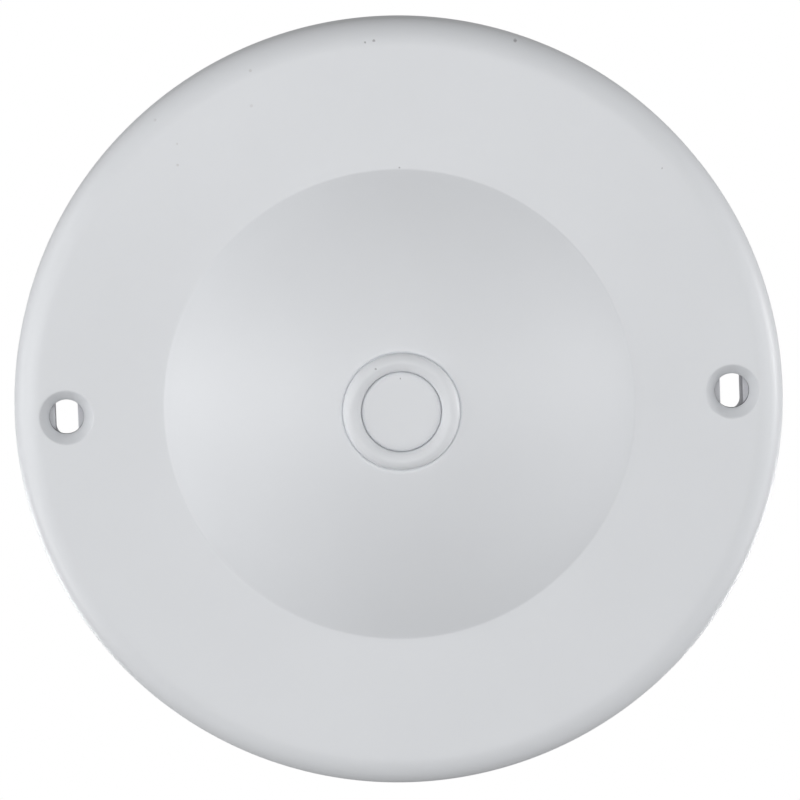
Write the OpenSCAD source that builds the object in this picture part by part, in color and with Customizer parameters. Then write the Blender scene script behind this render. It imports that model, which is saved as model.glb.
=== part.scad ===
// Combination heat detector: a spun white cover with an air dome, a central
// fixed-temperature element, a rate-of-rise diaphragm and a terminal block.
// Modules are drawn with X to the right, Y up and Z towards the room, and
// face_room() turns them so that the cover faces -Y and +Z is up.
// Z = 0 is the mounting plane, where the rim meets the wall or ceiling.

/* [Cover] */
// Outside diameter of the cover
cover_d = 117.5; // [117:0.5:120]
// Height of the flat flange above the mounting plane
flange_h = 11; // [10.5:0.1:11.5]
// Radius of the rolled outer edge
edge_r = 4.1; // [3.5:0.1:4.4]
// Thickness of the cover's sheet
sheet_t = 1; // [0.9:0.05:1.1]
// Diameter of the dome where it leaves the flange
dome_d = 71.9; // [71:0.1:73]
// Rise of the dome above the flange, if it had no flat land
dome_h = 10.4; // [10:0.1:10.8]

/* [Screw holes] */
// Distance between the two screw holes
hole_spacing = 101.6; // [101:0.1:102]
// Diameter of the round hole in the cover
hole_d = 5.26; // [5:0.02:5.4]
// Diameter of the countersink at the flange
countersink_d = 8.24; // [8:0.02:8.6]
// Width of the slot in the base behind the hole
slot_w = 3.5; // [3.3:0.05:3.8]
// Length of that slot, along the rim
slot_l = 7.6; // [7:0.1:8]

/* [Fixed-temperature element] */
// Outside diameter of the raised ring
ring_d = 17.9; // [17.8:0.1:18.2]
// Height of the ring above the dome's flat land
ring_h = 1.4; // [1.2:0.1:1.6]
// Diameter of the heat collector disc
disc_d = 12.1; // [11.9:0.05:12.1]
// Depth of the disc's face below the ring's top
disc_sunk = 0.8; // [0.7:0.05:0.9]
// Distance the plunger flies when the alloy melts
plunger_travel = 2.2; // [1.8:0.1:2.2]

/* [Terminals] */
// Distance between the two terminals on one busbar
terminal_pitch = 17; // [16:0.5:18]
// Distance between the two busbars
busbar_spacing = 36; // [35:0.5:36]
// Outside diameter of the terminal block
block_d = 62; // [62:0.5:64]
// Depth of the terminal block behind the mounting plane
block_depth = 14; // [14:0.5:16]

/* [Hidden] */
$fn = 96;

eps = 0.05;                  // overlap of cuts past a face
slack = 0.02;                // running clearance of a shaft in its bore

// Cover
cover_r = cover_d / 2;
dome_r = dome_d / 2;
dome_ball = (dome_r * dome_r + dome_h * dome_h) / (2 * dome_h);
dome_centre = flange_h + dome_h - dome_ball;
land_r = ring_d / 2 + 0.2;
land_z = dome_centre + sqrt(dome_ball * dome_ball - land_r * land_r);
crease_r = 0.8;              // fillet between the flange and the dome
lip_t = 0.9;                 // rolled-in back edge of the cover
lip_w = 2.5;
countersink_angle = 41;      // half of the screw head's 82 degrees
countersink_depth = (countersink_d - hole_d) / 2 / tan(countersink_angle);
hole_wall = 0.8;             // straight wall under the countersink
pillar_top = flange_h - countersink_depth - hole_wall;
hole_x = hole_spacing / 2;
soft_edge = 0.45;            // rounding of the countersink's lip

// Base
plate_t = 2.4;
recess_t = 0.5;              // the terminal block sits this deep in the base
recess_r = block_d / 2 + 0.5;
base_r = cover_r - sheet_t - 0.25;
base_low_r = cover_r - lip_w - 0.2;
wall_in = dome_r + 0.5;      // air chamber wall
wall_out = wall_in + 2.5;
gasket_t = 1.2;
wall_top = flange_h - sheet_t - gasket_t;
window_r = 12.8;             // opening that the diaphragm covers
boss_circle = 25;            // radius of the circle of block screws
vent_y = 24.5;
pocket_depth = 0.9;

// Fixed-temperature element
ring_round = 1.15;
ring_top = land_z + ring_h;
disc_r = disc_d / 2;
disc_pocket_r = disc_r + 0.07;
disc_t = 0.8;
disc_top = ring_top - disc_sunk;
seat_z = disc_top - disc_t - slack;
sleeve_r = 6.9;
sleeve_bore_r = 4.4;
plug_t = 1.9;
nut_t = 3;
washer_t = 0.6;
hub_r = 2.2;
collar_t = 1;
collar_top = seat_z - 4.4;
sleeve_end = collar_top - collar_t - plunger_travel - 0.1 - plug_t;
shelf_t = 0.8;               // inner shelf of the sleeve, which the spring pushes from
pin_r = 1;
stem_r = 1.5;
button_top = plate_t + 1.2;
stem_end = button_top + plunger_travel + slack;

// Diaphragm stack, upwards from the base's plate
seal_t = 0.5;
skin_t = 0.2;
skin_z = plate_t + seal_t;
clamp_t = 1.4;
stack_r = 17.6;
stack_screw_r = 15.4;
stack_screws = 6;
button_low = -0.55;

// Contacts, downwards into the terminal block
blade_t = 0.3;
blade_z = button_low - slack - blade_t;
blade_w = 5;
hinge_x = -13;               // where the leaf leaves its post
post_x = -16.5;
contact_x = 5;
contact_h = 0.6;
contact_gap = 0.62;          // open gap between the contacts
bracket_x = 17.5;
bracket_z = -5.4;
bracket_t = 1.4;

// Terminal block and its screws
block_r = block_d / 2;
back_z = -block_depth;
back_t = 2.4;
inner_back = back_z + back_t;
busbar_t = 1;
busbar_z = back_z - busbar_t;
clamp_plate_t = 1;
clamp_z = busbar_z - clamp_plate_t;
head_h = 2.2;
head_r = 3.4;
screw_r = 1.7;
barrier_h = 3.6;
TERMINALS = [[-1, 1], [-1, -1], [1, 1], [1, -1]];

module face_room() rotate([90, 0, 0]) children();

module ring(r_out, r_in, z_low, z_high)
    difference() {
        translate([0, 0, z_low]) cylinder(r = r_out, h = z_high - z_low);
        translate([0, 0, z_low - eps]) cylinder(r = r_in, h = z_high - z_low + 2 * eps);
    }

module rod(r, z_low, z_high)
    translate([0, 0, z_low]) cylinder(r = r, h = z_high - z_low);

module block(size, centre)
    translate([centre[0] - size[0] / 2, centre[1] - size[1] / 2, centre[2]]) cube(size);

module both_sides() for (side = [-1, 1]) translate([side * hole_x, 0, 0]) children();

module around(count, radius, first = 0)
    for (i = [0 : count - 1]) rotate([0, 0, first + i * 360 / count]) translate([radius, 0, 0]) children();

// A slot along Y with round ends
module slot(width, length, z_low, z_high) {
    straight = length - width;
    for (end = [-1, 1]) translate([0, end * straight / 2, 0]) rod(width / 2, z_low, z_high);
    block([width, straight, z_high - z_low], [0, 0, z_low]);
}

// Half profile of a rectangle whose two top corners are rounded
module rounded_band(r_in, r_out, z_low, z_high, r) intersection() {
    union() {
        translate([r_in, z_low]) square([r_out - r_in, z_high - z_low - r]);
        translate([r_in + r, z_low]) square([r_out - r_in - 2 * r, z_high - z_low]);
        translate([r_in + r, z_high - r]) circle(r);
        translate([r_out - r, z_high - r]) circle(r);
    }
    translate([r_in, z_low]) square([r_out - r_in, z_high - z_low]);
}

// ---------- cover ----------

// Half profile of a flange with a rolled edge and a dome that ends in a flat land
module cover_outline(r, flange, edge, ball, land) {
    square([r - edge, flange]);
    square([r, flange - edge]);
    translate([r - edge, flange - edge]) circle(edge);
    intersection() {
        translate([0, dome_centre]) circle(ball, $fn = 360);
        translate([0, flange - sheet_t]) square([dome_r + 1, land - flange + sheet_t]);
    }
}

// Concave fillet where the dome leaves the flange
module crease() {
    reach = dome_ball + crease_r;
    rise = flange_h + crease_r - dome_centre;
    x = sqrt(reach * reach - rise * rise);
    share = dome_ball / reach;
    touch = [x * share, dome_centre + rise * share];
    difference() {
        polygon([[dome_r - 1, flange_h - sheet_t / 2], touch, [x, flange_h], [x, flange_h - sheet_t / 2]]);
        translate([x, flange_h + crease_r]) circle(crease_r);
    }
}

module cover_profile() {
    difference() {
        union() {
            cover_outline(cover_r, flange_h, edge_r, dome_ball, land_z);
            crease();
        }
        difference() {
            cover_outline(cover_r - sheet_t, flange_h - sheet_t, edge_r - sheet_t,
                dome_ball - sheet_t, land_z - sheet_t);
            square([cover_r, lip_t]);
        }
        translate([0, -eps]) square([cover_r - lip_w, lip_t + 2 * eps]);
        translate([0, flange_h]) square([sleeve_r + 0.1, 3 * dome_h]);
    }
}

// Cutter for the countersink, with its lip rounded into the flange
module countersink_cut() {
    cone_r = countersink_d / 2;
    touch = soft_edge * tan((90 - countersink_angle) / 2);
    centre = [cone_r + touch, flange_h - soft_edge];
    on_cone = centre + soft_edge * [-cos(countersink_angle), sin(countersink_angle)];
    rotate_extrude() difference() {
        polygon([
            [0, pillar_top - 1], [hole_d / 2, pillar_top - 1],
            [hole_d / 2, flange_h - countersink_depth], on_cone,
            [centre[0], flange_h], [centre[0], flange_h + 1], [0, flange_h + 1]
        ]);
        translate(centre) circle(soft_edge);
    }
}

module front_cover() color("whitesmoke") difference() {
    union() {
        rotate_extrude() cover_profile();
        both_sides() translate([0, 0, pillar_top])
            cylinder(r1 = hole_d / 2 + 0.9, r2 = countersink_d / 2 + 1.2, h = flange_h - sheet_t / 2 - pillar_top);
    }
    both_sides() countersink_cut();
}

// ---------- base ----------

module base_ring_profile() {
    translate([window_r, recess_t]) square([recess_r - window_r + 1, plate_t - recess_t]);
    translate([recess_r, 0]) square([base_low_r - recess_r, plate_t]);
    translate([base_low_r - 1, lip_t]) square([base_r - base_low_r + 1, plate_t - lip_t]);
    translate([wall_in, recess_t]) square([wall_out - wall_in, wall_top - recess_t]);
    translate([base_r - 2, lip_t]) square([2, 4.6 - lip_t]);
}

// Shallow pockets in the back of the base, between ribs
module base_pockets() difference() {
    ring(base_low_r - 1.8, recess_r + 2, -eps, pocket_depth);
    around(12, 0, 15) block([2 * base_r, 1.8, 3], [0, 0, -1]);
    both_sides() rod(6.6, -1, 3);
}

module base() color("ivory") difference() {
    union() {
        rotate_extrude() base_ring_profile();
        both_sides() rod(5.4, plate_t / 2, pillar_top);
        around(12, 0, 15) block([base_r - wall_out, 1.5, 2.8], [(base_r - 0.5 + wall_out) / 2, 0, plate_t - 0.2]);
        around(4, boss_circle, 45) rod(3.2, plate_t / 2, plate_t + 3.8);
    }
    both_sides() slot(slot_w, slot_l, -1, pillar_top + 1);
    base_pockets();
    around(4, boss_circle, 45) rod(1.2, -1, plate_t + 2.8);
    around(stack_screws, stack_screw_r) rod(0.75, recess_t + 0.4, plate_t + 1);
    translate([0, vent_y, 0]) rod(2, -1, plate_t + 1);
}

module chamber_gasket() color("dimgray") ring(wall_out + 0.2, wall_in - 0.2, wall_top, flange_h - sheet_t);

// ---------- fixed-temperature element ----------

module element_sleeve() color("whitesmoke") rotate_extrude() {
    rounded_band(disc_pocket_r, ring_d / 2, land_z, ring_top, ring_round);
    translate([sleeve_bore_r, sleeve_end]) square([sleeve_r - sleeve_bore_r, seat_z - sleeve_end]);
    translate([disc_pocket_r, seat_z - 1]) square([sleeve_r - disc_pocket_r, land_z - seat_z + 1.2]);
    translate([hub_r + 0.03, seat_z - shelf_t]) square([sleeve_r - hub_r - 0.03, shelf_t]);
}

module sleeve_washer() color("firebrick")
    ring(8.8, sleeve_r + slack, land_z - sheet_t - washer_t, land_z - sheet_t);

module sleeve_nut() color("goldenrod") difference() {
    top = land_z - sheet_t - washer_t;
    translate([0, 0, top - nut_t]) intersection() {
        cylinder(d = 18 / cos(30), h = nut_t, $fn = 6);
        cylinder(r1 = 9.2, r2 = 9.2 + nut_t, h = nut_t);
    }
    rod(sleeve_r + slack, top - nut_t - 1, top + 1);
}

module sleeve_plug() color("goldenrod") difference() {
    rod(sleeve_bore_r - slack, sleeve_end, sleeve_end + plug_t);
    rod(stem_r + slack * 3, sleeve_end - 1, sleeve_end + plug_t + 1);
    block([12, 0.9, 0.8], [0, 0, sleeve_end - eps]);
}

module collector_disc() color("whitesmoke") difference() {
    union() {
        rotate_extrude() rounded_band(0.4, disc_r, disc_top - disc_t, disc_top, 0.25);
        rod(2, disc_top - disc_t, disc_top);
        rod(hub_r, collar_top + 0.3, disc_top - disc_t / 2);
    }
    rod(pin_r + 0.6, collar_top, disc_top - disc_t - 0.4);
}

module eutectic_ring() color("silver")
    ring(pin_r + 0.58, pin_r + slack, collar_top + 0.35, disc_top - disc_t - 0.5);

module plunger() color("goldenrod") {
    rod(pin_r, collar_top - eps, disc_top - disc_t - 0.8);
    rod(sleeve_bore_r - 0.1, collar_top - collar_t, collar_top);
    rod(stem_r, stem_end + 0.5, collar_top - collar_t + eps);
    translate([0, 0, stem_end]) cylinder(r1 = stem_r - 0.5, r2 = stem_r, h = 0.5);
}

// Points of a round wire's rings along a helix, for one polyhedron
function coil_ring(angle, radius, wire, z, sides) = [
    for (k = [0 : sides - 1])
        let (a = 360 * k / sides, r = radius + wire / 2 * cos(a))
        [r * cos(angle), r * sin(angle), z + wire / 2 * sin(a)]
];

module coil(radius, wire, z_low, z_high, turns, steps = 20, sides = 8) {
    count = turns * steps;
    rise = z_high - z_low - wire;
    points = [
        for (i = [0 : count])
            each coil_ring(360 * i / steps, radius, wire, z_low + wire / 2 + rise * i / count, sides)
    ];
    skin = [
        for (i = [0 : count - 1], k = [0 : sides - 1])
            let (a = i * sides + k, b = i * sides + (k + 1) % sides)
            [a, b, b + sides, a + sides]
    ];
    ends = [[for (k = [0 : sides - 1]) sides - 1 - k], [for (k = [0 : sides - 1]) count * sides + k]];
    polyhedron(points, concat(skin, ends));
}

module plunger_spring() color("gray") coil(3.2, 0.6, collar_top + slack, seat_z - shelf_t - slack, 3.5);

// ---------- rate-of-rise diaphragm ----------

module diaphragm_gasket() color("dimgray") difference() {
    ring(stack_r, window_r, plate_t, skin_z);
    around(stack_screws, stack_screw_r) rod(1.05, 0, skin_z + 1);
}

// Half profile of a thin skin with round waves between a centre and a clamped rim
module skin_profile(waves = 4, steps = 8, height = 0.35) {
    wave_in = 3;
    wave_out = window_r - 0.6;
    count = waves * steps;
    line = [
        for (i = [0 : count])
            [wave_in + (wave_out - wave_in) * i / count, skin_z + height * (1 - cos(360 * i / steps)) / 2]
    ];
    lower = concat([[0.82, skin_z]], line, [[stack_r, skin_z]]);
    upper = [for (i = [len(lower) - 1 : -1 : 0]) lower[i] + [0, skin_t]];
    polygon(concat(lower, upper));
}

module diaphragm() color("peru") difference() {
    rotate_extrude() skin_profile();
    around(stack_screws, stack_screw_r) rod(1.05, 0, skin_z + 1);
}

module diaphragm_ring() color("silver") difference() {
    ring(stack_r, window_r + 0.6, skin_z + skin_t, skin_z + skin_t + clamp_t);
    around(stack_screws, stack_screw_r) rod(1.05, 0, skin_z + 5);
}

module round_head(r, h, slot_depth) difference() {
    intersection() {
        cylinder(r = r, h = h);
        translate([0, 0, h - 2.2 * r]) sphere(r = 2.2 * r);
    }
    block([3 * r, r / 3.2, h], [0, 0, h - slot_depth]);
}

module diaphragm_screws() color("silver") around(stack_screws, stack_screw_r) {
    top = skin_z + skin_t + clamp_t;
    rod(0.73, recess_t + 0.6, plate_t);
    rod(0.95, plate_t, top + eps);
    translate([0, 0, top]) rotate([0, 0, 90]) round_head(1.8, 1.1, 0.5);
}

module diaphragm_button() color("goldenrod") {
    rod(2.4, skin_z + skin_t, button_top);
    rod(0.8, skin_z - 0.1, button_top);
    rod(1.5, button_low + 0.4, skin_z);
    translate([0, 0, button_low]) cylinder(r1 = 1.1, r2 = 1.5, h = 0.4);
}

// ---------- contacts ----------

module contact_blade() color("peru") difference() {
    union() {
        block([24, blade_w, blade_t], [hinge_x + 5.5 + 1.5, 0, blade_z]);
        translate([contact_x + 1, 0, 0]) rod(blade_w / 2, blade_z, blade_z + blade_t);
        translate([post_x, 0, 0]) rod(3, blade_z, blade_z + blade_t);
    }
    translate([post_x, 0, 0]) rod(1.05, blade_z - 1, blade_z + 1);
    translate([contact_x, 0, 0]) rod(0.62, blade_z - 1, blade_z + 1);
    block([7, 1.6, 1], [hinge_x + 5, 0, blade_z - 0.4]);
}

module moving_contact() color("silver") translate([contact_x, 0, 0]) {
    rod(1.2, blade_z - contact_h, blade_z);
    rod(0.6, blade_z - eps, blade_z + blade_t + eps);
    rod(1, blade_z + blade_t, blade_z + blade_t + 0.25);
}

module blade_post() color("goldenrod") translate([post_x, 0, 0]) {
    rod(1, blade_z - 2, blade_z + blade_t);
    rod(3.2, inner_back, blade_z);
    rod(1.4, busbar_z, inner_back + eps);
    rod(2, busbar_z - 0.5, busbar_z);
}

module blade_rivet() color("goldenrod") translate([post_x, 0, 0]) difference() {
    translate([0, 0, blade_z + blade_t]) cylinder(r1 = 2, r2 = 1.7, h = 0.4);
    rod(0.4, blade_z, blade_z + 1);
}

module contact_bracket() color("goldenrod") difference() {
    union() {
        translate([bracket_x, 0, 0]) {
            rod(3.2, inner_back, bracket_z);
            rod(1.4, busbar_z, inner_back + eps);
            rod(2, busbar_z - 0.5, busbar_z);
            rod(3.2, bracket_z - eps, bracket_z + bracket_t);
        }
        block([bracket_x - contact_x, 6, bracket_t], [(bracket_x + contact_x) / 2, 0, bracket_z]);
        translate([contact_x, 0, 0]) rod(3, bracket_z, bracket_z + bracket_t);
    }
    translate([contact_x, 0, 0]) rod(1.25 + slack, bracket_z - 1, bracket_z + 3);
}

fixed_top = blade_z - contact_h - contact_gap;

module fixed_contact() color("silver") translate([contact_x, 0, 0]) rod(1.1, fixed_top - 0.6, fixed_top);

module calibration_screw() color("silver") translate([contact_x, 0, 0]) difference() {
    rod(1.25, inner_back + 0.8, fixed_top - 0.6);
    block([4, 0.6, 0.9], [0, 0, inner_back + 0.75]);
}

module calibration_nut() color("goldenrod") translate([contact_x, 0, bracket_z - 1.8]) difference() {
    cylinder(d = 5 / cos(30), h = 1.8, $fn = 6);
    rod(1.25 + slack, -1, 3);
}

// ---------- terminal block ----------

module busbar(side) color("goldenrod") difference() {
    block([10, terminal_pitch + 10, busbar_t], [side * busbar_spacing / 2, 0, busbar_z]);
    for (end = [-1, 1])
        translate([side * busbar_spacing / 2, end * terminal_pitch / 2, 0]) rod(screw_r + slack, busbar_z - 1, back_z + 1);
    translate([side < 0 ? post_x : bracket_x, 0, 0]) rod(1.42, busbar_z - 1, back_z + 1);
}

module barrier(size, centre) block([size[0], size[1], barrier_h + eps], [centre[0], centre[1], back_z - barrier_h]);

module terminal_block() color("dimgray") difference() {
    union() {
        difference() {
            rod(block_r, back_z, recess_t);
            rod(block_r - 2.4, inner_back, recess_t + 1);
        }
        around(4, boss_circle, 45) rod(3.5, inner_back - eps, recess_t);
        for (side = [-1, 1]) {
            barrier([10, 1.6], [side * busbar_spacing / 2, terminal_pitch / 2 + 5.9]);
            barrier([10, 1.6], [side * busbar_spacing / 2, -terminal_pitch / 2 - 5.9]);
            barrier([1.6, terminal_pitch + 13.4], [side * (busbar_spacing / 2 - 5.9), 0]);
        }
    }
    around(4, boss_circle, 45) {
        rod(1.5, back_z - 1, recess_t + 1);
        rod(3, back_z - barrier_h - 1, back_z + 1.6);
    }
    for (t = TERMINALS)
        translate([t[0] * busbar_spacing / 2, t[1] * terminal_pitch / 2, 0]) rod(2, back_z - 1, inner_back + 1);
    for (x = [post_x, bracket_x]) translate([x, 0, 0]) rod(1.42, back_z - 1, inner_back + 1);
    translate([contact_x, 0, 0]) rod(2.6, back_z - 1, inner_back + 1);
    translate([0, -block_r, 0]) slot(3, 8, back_z + 5, back_z + 8);
}

module calibration_plug() color("firebrick") translate([contact_x, 0, 0]) {
    rod(2.58, back_z - 0.4, inner_back);
    rod(3.4, back_z - 1.2, back_z);
}

module block_screws() color("silver") around(4, boss_circle, 45) {
    rod(1.18, back_z + 1.6, plate_t + 2.4);
    translate([0, 0, back_z + 1.6]) mirror([0, 0, 1]) round_head(2.7, 1.5, 0.7);
}

module at_terminal(i) translate([
    TERMINALS[i - 1][0] * busbar_spacing / 2, TERMINALS[i - 1][1] * terminal_pitch / 2, 0
]) children();

module terminal_clamp(i) color("silver") at_terminal(i) difference() {
    union() {
        block([8, 9, clamp_plate_t], [0, 0, clamp_z]);
        for (end = [-1, 1]) block([8, 0.9, 1.6], [0, end * 4.05, clamp_z - 0.6]);
    }
    rod(screw_r + slack, clamp_z - 2, busbar_z + 1);
}

module terminal_screw(i) color("silver") at_terminal(i) {
    rod(screw_r, clamp_z - eps, inner_back + 1.2);
    translate([0, 0, inner_back + 1.2]) cylinder(r1 = screw_r, r2 = screw_r - 0.5, h = 0.5);
    translate([0, 0, clamp_z]) mirror([0, 0, 1]) round_head(head_r, head_h, 1.1);
}

// ---------- vent ----------

module vent_fitting() color("goldenrod") translate([0, vent_y, 0]) difference() {
    union() {
        rod(2 - slack, -1.2, plate_t + eps);
        rod(3, plate_t, plate_t + 2.6);
    }
    rod(1.7, plate_t + 0.6, plate_t + 4);
    rod(0.3, -2, plate_t + 1);
}

module vent_filter() color("tan") translate([0, vent_y, 0]) rod(1.68, plate_t + 0.8, plate_t + 2.4);

face_room() front_cover();
face_room() base();
face_room() terminal_block();
face_room() block_screws();
face_room() chamber_gasket();
face_room() element_sleeve();
face_room() sleeve_washer();
face_room() sleeve_nut();
face_room() sleeve_plug();
face_room() collector_disc();
face_room() eutectic_ring();
face_room() plunger();
face_room() plunger_spring();
face_room() diaphragm_gasket();
face_room() diaphragm();
face_room() diaphragm_ring();
face_room() diaphragm_screws();
face_room() diaphragm_button();
face_room() contact_blade();
face_room() moving_contact();
face_room() blade_rivet();
face_room() blade_post();
face_room() contact_bracket();
face_room() calibration_screw();
face_room() calibration_nut();
face_room() fixed_contact();
face_room() calibration_plug();
face_room() busbar(-1);  // busbar_left
face_room() busbar(1);  // busbar_right
face_room() vent_fitting();
face_room() vent_filter();
face_room() terminal_screw(1);  // terminal_screw_1
face_room() terminal_screw(2);  // terminal_screw_2
face_room() terminal_screw(3);  // terminal_screw_3
face_room() terminal_screw(4);  // terminal_screw_4
face_room() terminal_clamp(1);  // terminal_clamp_1
face_room() terminal_clamp(2);  // terminal_clamp_2
face_room() terminal_clamp(3);  // terminal_clamp_3
face_room() terminal_clamp(4);  // terminal_clamp_4
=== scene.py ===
import math
import bmesh
import bpy
import numpy as np
from mathutils import Matrix, Vector, noise

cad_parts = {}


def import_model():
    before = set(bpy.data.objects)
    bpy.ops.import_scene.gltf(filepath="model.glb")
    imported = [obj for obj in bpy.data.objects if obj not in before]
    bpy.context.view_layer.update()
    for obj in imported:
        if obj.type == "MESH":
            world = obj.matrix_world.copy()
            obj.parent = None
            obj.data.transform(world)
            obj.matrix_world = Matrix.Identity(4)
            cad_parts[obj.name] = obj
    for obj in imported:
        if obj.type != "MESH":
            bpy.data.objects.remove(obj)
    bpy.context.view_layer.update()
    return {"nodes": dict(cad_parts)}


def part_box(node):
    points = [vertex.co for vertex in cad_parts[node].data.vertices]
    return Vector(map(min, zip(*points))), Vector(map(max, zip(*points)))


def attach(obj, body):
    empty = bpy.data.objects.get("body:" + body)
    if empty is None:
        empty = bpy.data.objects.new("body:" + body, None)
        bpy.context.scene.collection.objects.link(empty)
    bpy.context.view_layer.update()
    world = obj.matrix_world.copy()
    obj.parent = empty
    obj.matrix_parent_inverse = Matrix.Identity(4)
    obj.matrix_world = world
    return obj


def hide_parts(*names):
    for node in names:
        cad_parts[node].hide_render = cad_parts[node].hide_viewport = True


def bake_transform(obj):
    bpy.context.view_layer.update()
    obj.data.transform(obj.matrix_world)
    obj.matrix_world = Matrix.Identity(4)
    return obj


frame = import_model()
NODES = frame["nodes"]
MM = 0.001
TAU = 2 * math.pi


# ---------- drawing frame: x to the right, y up, z towards the room, in millimetres ----------

def world(p):
    return Vector((p[0] * MM, -p[2] * MM, p[1] * MM))


def depth(node):
    """(low, high) of a CAD node along the room axis, in millimetres."""
    lo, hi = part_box(node)
    return -hi.y / MM, -lo.y / MM


def centre(node):
    lo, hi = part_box(node)
    return (lo.x + hi.x) / 2 / MM, (lo.z + hi.z) / 2 / MM


def half_width(node):
    lo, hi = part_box(node)
    return (hi.x - lo.x) / 2 / MM


# ---------- mesh helpers ----------

def add_object(name, mesh):
    obj = bpy.data.objects.new(name, mesh)
    bpy.context.scene.collection.objects.link(obj)
    return obj


def make_object(name, verts, faces, sharp_deg=40):
    """An object from points in the drawing frame, with its seams welded and its sharp edges marked."""
    mesh = bpy.data.meshes.new(name)
    mesh.from_pydata([world(v) for v in verts], [], faces)
    mesh.validate()
    obj = add_object(name, mesh)
    bm = bmesh.new()
    bm.from_mesh(mesh)
    bmesh.ops.remove_doubles(bm, verts=bm.verts, dist=1e-7)
    bmesh.ops.recalc_face_normals(bm, faces=bm.faces)
    bm.to_mesh(mesh)
    bm.free()
    set_smooth(obj, sharp_deg)
    return obj


def set_smooth(obj, sharp_deg=40):
    bm = bmesh.new()
    bm.from_mesh(obj.data)
    limit = math.radians(sharp_deg)
    for f in bm.faces:
        f.smooth = True
    for e in bm.edges:
        e.smooth = not (len(e.link_faces) == 2 and e.calc_face_angle(0) > limit)
    bm.to_mesh(obj.data)
    bm.free()


def arc(cx, cz, r, a0, a1, n):
    """Points of an arc in an (r, z) profile, angles in degrees from +r towards +z."""
    out = []
    for i in range(n + 1):
        a = math.radians(a0 + (a1 - a0) * i / n)
        out.append((cx + r * math.cos(a), cz + r * math.sin(a)))
    return out


def lathe(name, prof, at=(0, 0), seg=96, sharp_deg=40, wobble=None):
    """A closed (r, z) profile turned about the room axis at the point `at`."""
    verts, faces = [], []
    n = len(prof)
    for i in range(seg):
        a = TAU * i / seg
        c, s = math.cos(a), math.sin(a)
        for k, (r, z) in enumerate(prof):
            if wobble:
                r, z = wobble(r, z, a)
            verts.append((at[0] + r * c, at[1] + r * s, z))
    for i in range(seg):
        j = (i + 1) % seg
        for k in range(n):
            m = (k + 1) % n
            faces.append((i * n + k, j * n + k, j * n + m, i * n + m))
    return make_object(name, verts, faces, sharp_deg=sharp_deg)


# ---------- what a piece stands for ----------

FINISH = {}


def finish_piece(obj, body, slot, *nodes):
    """Parents a new piece to the body it moves with, files its finish and hides the CAD nodes it stands for."""
    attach(obj, body)
    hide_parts(*nodes)
    FINISH[obj.name] = slot
    return obj


def bend_piece(obj, slot, node):
    """For a piece that bends between two bodies: bakes its placement into its mesh, files its finish and hides its CAD
    node.
    """
    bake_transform(obj)
    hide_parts(node)
    FINISH[obj.name] = slot


# ---------- colour and light ----------

BASE_WHITE = (0.797, 0.814, 0.840)
AMBIENT = 0.143
REAR_GLOW = 0.27
FLOOR_GLOW = 0.82
FLOOR_Z = -0.45
# name, azimuth and elevation in degrees, side in metres, watts, and the distance in metres where it isn't the usual
LIGHTS = [
    ("left_low", -90, 0, 0.35, 1.50),
    ("left_mid", -55, 0, 0.35, 1.97),
    ("left_front", -30, 0, 0.35, 1.69),
    ("front", 0, 0, 0.35, 2.24),
    ("right_front", 30, 0, 0.35, 0.92),
    ("right_mid", 55, 0, 0.35, 1.06),
    ("right_low", 90, 0, 0.35, 3.57),
    ("front_high", 0, 30, 0.35, 0.97),
    ("left_high", -80, 25, 0.35, 1.13),
    ("right_high", 80, 25, 0.35, 0.49),
    ("left_under", -80, -25, 0.19, 0.42, 0.6),
    ("right_under", 80, -25, 0.19, 0.265, 0.6),
    ("rear_left", -145, -20, 0.3, 1.6),
    ("rear_right", 145, -20, 0.3, 1.6),
]


# ---------- cover: a spun shell with two countersunk dimples ----------

LAND_TOP = depth("front_cover")[1]
COVER_R = half_width("front_cover")
SHEET = 1.0
EDGE = 4.1
DOME_R = 35.95
DOME_RISE = 10.4
FLANGE = 11.0
HOLE_X = 50.8
HOLE_R = 2.63
SINK_R = 4.12
SINK_DEPTH = (SINK_R - HOLE_R) / math.tan(math.radians(41))
LIP = 0.42
BALL = (DOME_R ** 2 + DOME_RISE ** 2) / (2 * DOME_RISE)
BALL_Z = FLANGE + DOME_RISE - BALL
CREASE = 0.7
OPENING_R = 7.0
GROOVE = 0.22
SEG = 384
# rings round each screw hole replace the grid over this many columns either side of it
PATCH_COLS = 9
PATCH_STEPS = (0.10, 0.26, 0.45, 0.65, 0.82, 0.93, 1.0)


def skin_outline(ball, flange, edge, outer, crease, land, groove=0.0):
    """(r, z) from the flat land in the middle out to the start of the rim's wall."""
    reach, rise = ball + crease, flange + crease - BALL_Z
    x = math.sqrt(reach * reach - rise * rise)
    foot = (x * ball / reach, BALL_Z + rise * ball / reach)
    land_r = math.sqrt(ball * ball - (land - BALL_Z) ** 2)
    a0 = math.degrees(math.atan2(land - BALL_Z, land_r))
    a1 = math.degrees(math.atan2(foot[1] - BALL_Z, foot[0]))
    pts = [(r, land - groove) for r in (OPENING_R, 7.9, 8.84)]
    if groove:
        pts += [(r, land - share * groove) for r, share in ((8.93, 0.92), (9.0, 0.55), (9.08, 0.2), (9.2, 0.04))]
        a0 = math.degrees(math.atan2(land - BALL_Z - 0.06, 9.45))
    else:
        pts.append((land_r - 0.25, land))
    pts += arc(0, BALL_Z, ball, a0 - 0.15, a1, 44)
    b0 = math.degrees(math.atan2(foot[1] - flange - crease, foot[0] - x))
    pts += arc(x, flange + crease, crease, b0, -90, 5)[1:]
    pts += [(r, flange) for r in np.linspace(x, outer - edge, 30)[1:]]
    pts += arc(outer - edge, flange - edge, edge, 90, 0, 18)[1:]
    return pts


def ripple(x, y):
    """Slight unevenness of spun and enamelled sheet, in millimetres along the room axis."""
    v = Vector((x * 0.055, y * 0.055, 3.1))
    w = Vector((x * 0.21, y * 0.21, 7.7))
    return 0.030 * noise.noise(v) + 0.008 * noise.noise(w)


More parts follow.
